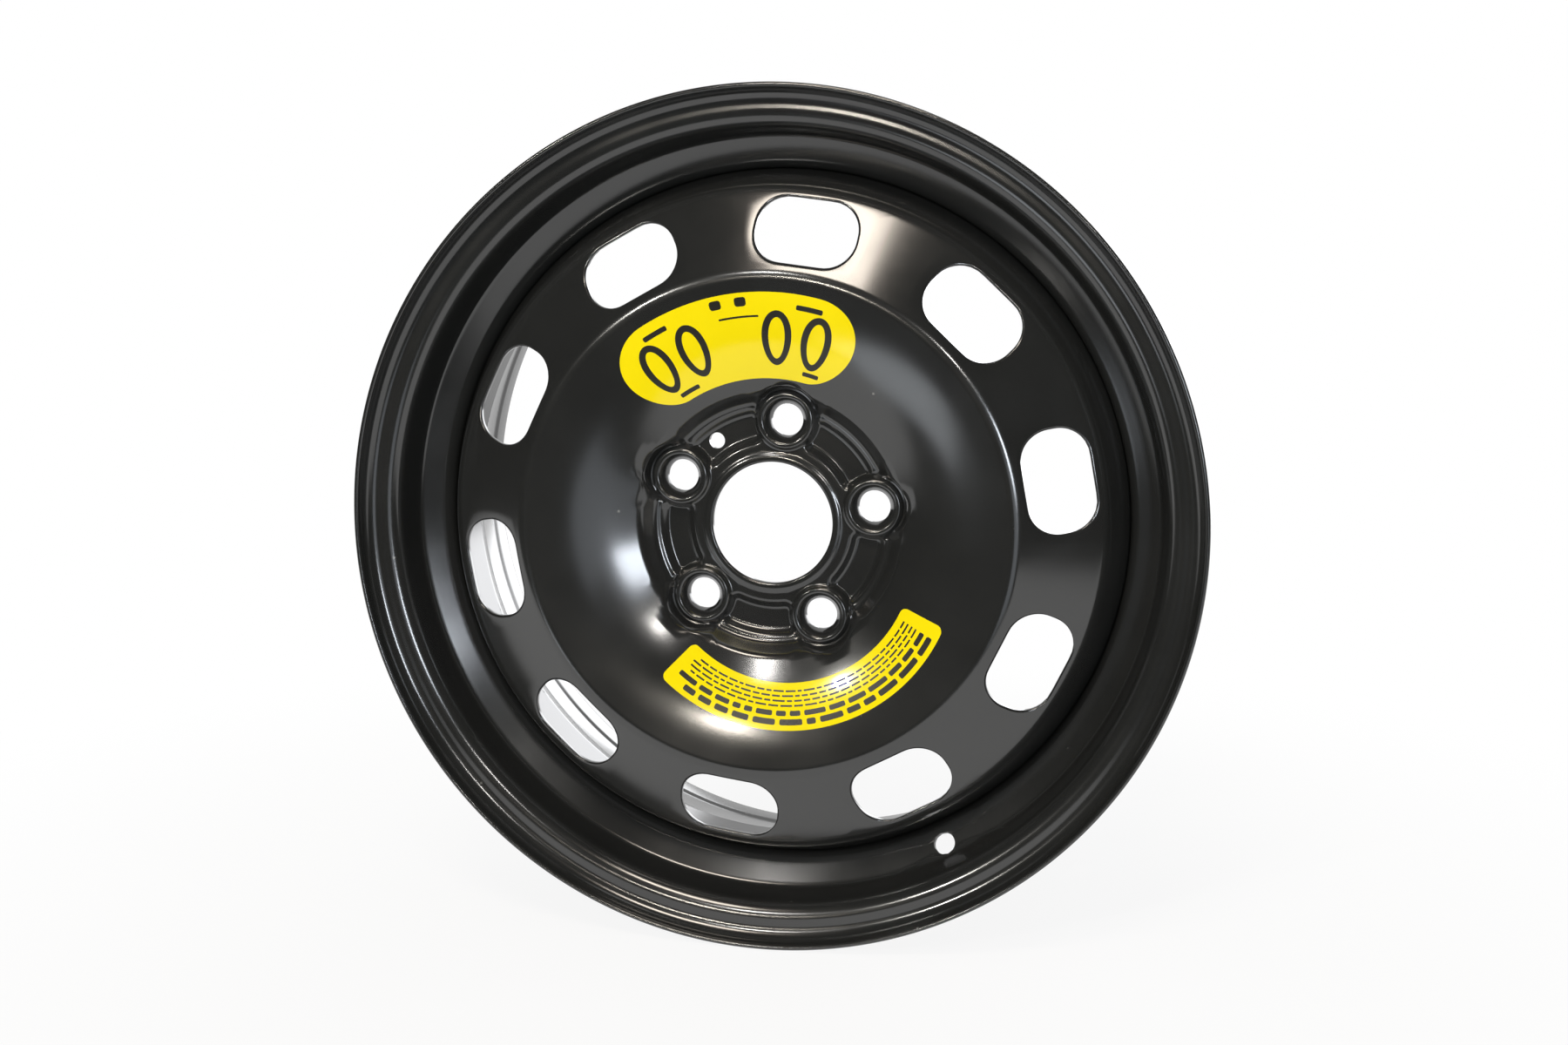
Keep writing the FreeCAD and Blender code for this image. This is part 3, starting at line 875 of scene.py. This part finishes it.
def seen_directly(tree):
    """A value of 1 for camera, mirror and see-through rays, which show the pale background."""
    path = tree.nodes.new("ShaderNodeLightPath")
    either = tree.nodes.new("ShaderNodeMath")
    either.operation = "MAXIMUM"
    any_of = tree.nodes.new("ShaderNodeMath")
    any_of.operation = "MAXIMUM"
    tree.links.new(path.outputs["Is Camera Ray"], either.inputs[0])
    tree.links.new(path.outputs["Is Glossy Ray"], either.inputs[1])
    tree.links.new(either.outputs["Value"], any_of.inputs[0])
    tree.links.new(path.outputs["Is Transmission Ray"], any_of.inputs[1])
    return any_of.outputs["Value"]


# World: white to look at, dimmer as light
world = bpy.data.worlds.new("world")
bpy.context.scene.world = world
world.use_nodes = True
tree = world.node_tree
ambient = tree.nodes["Background"]
ambient.inputs["Color"].default_value = (0.96, 0.98, 1, 1)
ambient.inputs["Strength"].default_value = 0.3
white = tree.nodes.new("ShaderNodeBackground")
white.inputs["Color"].default_value = (1, 1, 1, 1)
white.inputs["Strength"].default_value = 1
mixed = tree.nodes.new("ShaderNodeMixShader")
tree.links.new(seen_directly(tree), mixed.inputs[0])
tree.links.new(ambient.outputs[0], mixed.inputs[1])
tree.links.new(white.outputs[0], mixed.inputs[2])
tree.links.new(mixed.outputs[0], tree.nodes["World Output"].inputs["Surface"])

# Floor: white to look at, with the wheel's shadow left on it
floor_material = bpy.data.materials.new("floor")
floor_material.use_nodes = True
tree = floor_material.node_tree
paper = tree.nodes["Principled BSDF"]
paper.inputs["Base Color"].default_value = (0.9, 0.9, 0.9, 1)
paper.inputs["Roughness"].default_value = 0.9
paper.inputs["Specular IOR Level"].default_value = 0
glow = tree.nodes.new("ShaderNodeEmission")
glow.inputs["Color"].default_value = (1, 1, 1, 1)
spot = tree.nodes.new("ShaderNodeTexCoord")
far = tree.nodes.new("ShaderNodeVectorMath")
far.operation = "LENGTH"
fade = tree.nodes.new("ShaderNodeMapRange")
fade.interpolation_type = "SMOOTHSTEP"
fade.inputs["From Min"].default_value = 0.25
fade.inputs["From Max"].default_value = 0.75
fade.inputs["To Min"].default_value = 0.88
fade.inputs["To Max"].default_value = 1
part = tree.nodes.new("ShaderNodeMath")
part.operation = "MULTIPLY"
mixed = tree.nodes.new("ShaderNodeMixShader")
tree.links.new(spot.outputs["Object"], far.inputs[0])
tree.links.new(far.outputs["Value"], fade.inputs["Value"])
tree.links.new(fade.outputs["Result"], part.inputs[1])
tree.links.new(seen_directly(tree), part.inputs[0])
tree.links.new(part.outputs["Value"], mixed.inputs[0])
tree.links.new(paper.outputs[0], mixed.inputs[1])
tree.links.new(glow.outputs[0], mixed.inputs[2])
tree.links.new(mixed.outputs[0], tree.nodes["Material Output"].inputs["Surface"])


def stage_surface(name, points, material):
    """A sheet of the set, from a grid of points."""
    numbers = np.arange(points.shape[0] * points.shape[1]).reshape(points.shape[:2])
    faces = np.stack([numbers[:-1, :-1], numbers[:-1, 1:], numbers[1:, 1:], numbers[1:, :-1]], axis=-1)
    mesh = bpy.data.meshes.new(name)
    mesh.from_pydata(points.reshape(-1, 3).tolist(), [], faces.reshape(-1, 4).tolist())
    mesh.materials.append(material)
    sheet = bpy.data.objects.new(name, mesh)
    bpy.context.scene.collection.objects.link(sheet)
    return sheet


floor_reach = 3.0
floor_front = -0.45
floor_x, floor_y = np.meshgrid([-floor_reach, floor_reach], [floor_front, floor_reach], indexing="ij")
floor_z = np.full_like(floor_x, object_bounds()[0][2])
stage_surface("floor", np.stack([floor_x, floor_y, floor_z], axis=-1), floor_material)

# Dark screens in front of the wheel and beside it, which only mirror rays see
screen_material = bpy.data.materials.new("screen")
screen_material.use_nodes = True
screen_shader = screen_material.node_tree.nodes["Principled BSDF"]
screen_shader.inputs["Base Color"].default_value = (0.03, 0.03, 0.03, 1)
screen_shader.inputs["Specular IOR Level"].default_value = 0


def towards(bearing, rise):
    """Unit steps from the wheel along a bearing from the front and a rise over the floor, in degrees."""
    turn, up = np.radians(bearing), np.radians(rise)
    return np.stack([np.sin(turn) * np.cos(up), -np.cos(turn) * np.cos(up), np.sin(up)], axis=-1)


def screen(name, left, right, low, high):
    """Part of a sphere round the wheel, between two bearings from the front and two rises over the floor."""
    distance = 2.9
    bearing, rise = np.meshgrid(np.linspace(left, right, 40), np.linspace(low, high, 24), indexing="ij")
    sheet = stage_surface(name, distance * towards(bearing, rise), screen_material)
    sheet.visible_camera = False
    sheet.visible_diffuse = False
    sheet.visible_transmission = False
    sheet.visible_shadow = False


screen("front_screen", -150, 38, -40, 88)
screen("right_screen", 38, 105, -14, 70)


def lamp(name, bearing, rise, distance, width, height, color, radiance):
    """A flat lamp on a bearing from the front and a rise over the floor, facing the wheel."""
    light = bpy.data.lights.new(name, "AREA")
    light.shape = "RECTANGLE"
    light.size = width
    light.size_y = height
    light.color = color
    light.energy = radiance * math.pi * width * height
    holder = bpy.data.objects.new(name, light)
    holder.location = distance * towards(bearing, rise)
    holder.rotation_euler = (-holder.location).to_track_quat("-Z", "Y").to_euler()
    holder.visible_camera = False
    bpy.context.scene.collection.objects.link(holder)


lamp("window", 25, 4.2, 2.4, 0.30, 0.46, (0.86, 0.92, 1.0), 22)
lamp("window_glow", 18, -9, 2.6, 0.9, 0.9, (0.86, 0.92, 1.0), 1.0)
lamp("side_window", -29, -22, 2.4, 0.5, 0.6, (0.9, 0.95, 1.0), 2.4)
lamp("front_lamp", 15.4, 17.3, 2.4, 0.12, 0.12, (1.0, 0.97, 0.92), 80)
lamp("row_lamp_left", -27.5, 17.5, 2.4, 0.11, 0.11, (1.0, 0.97, 0.9), 220)
lamp("row_lamp_middle", -13.3, 30.3, 2.4, 0.16, 0.16, (1.0, 0.97, 0.93), 75)
lamp("row_lamp_right", -8.8, 9.4, 2.4, 0.11, 0.11, (1.0, 0.92, 0.80), 130)
lamp("ceiling_lamp", -1, 51, 2.2, 0.75, 0.40, (1.0, 0.89, 0.77), 18)
lamp("back_lamp", 158, 8, 2.4, 2.2, 1.6, (0.97, 0.98, 1.0), 4)
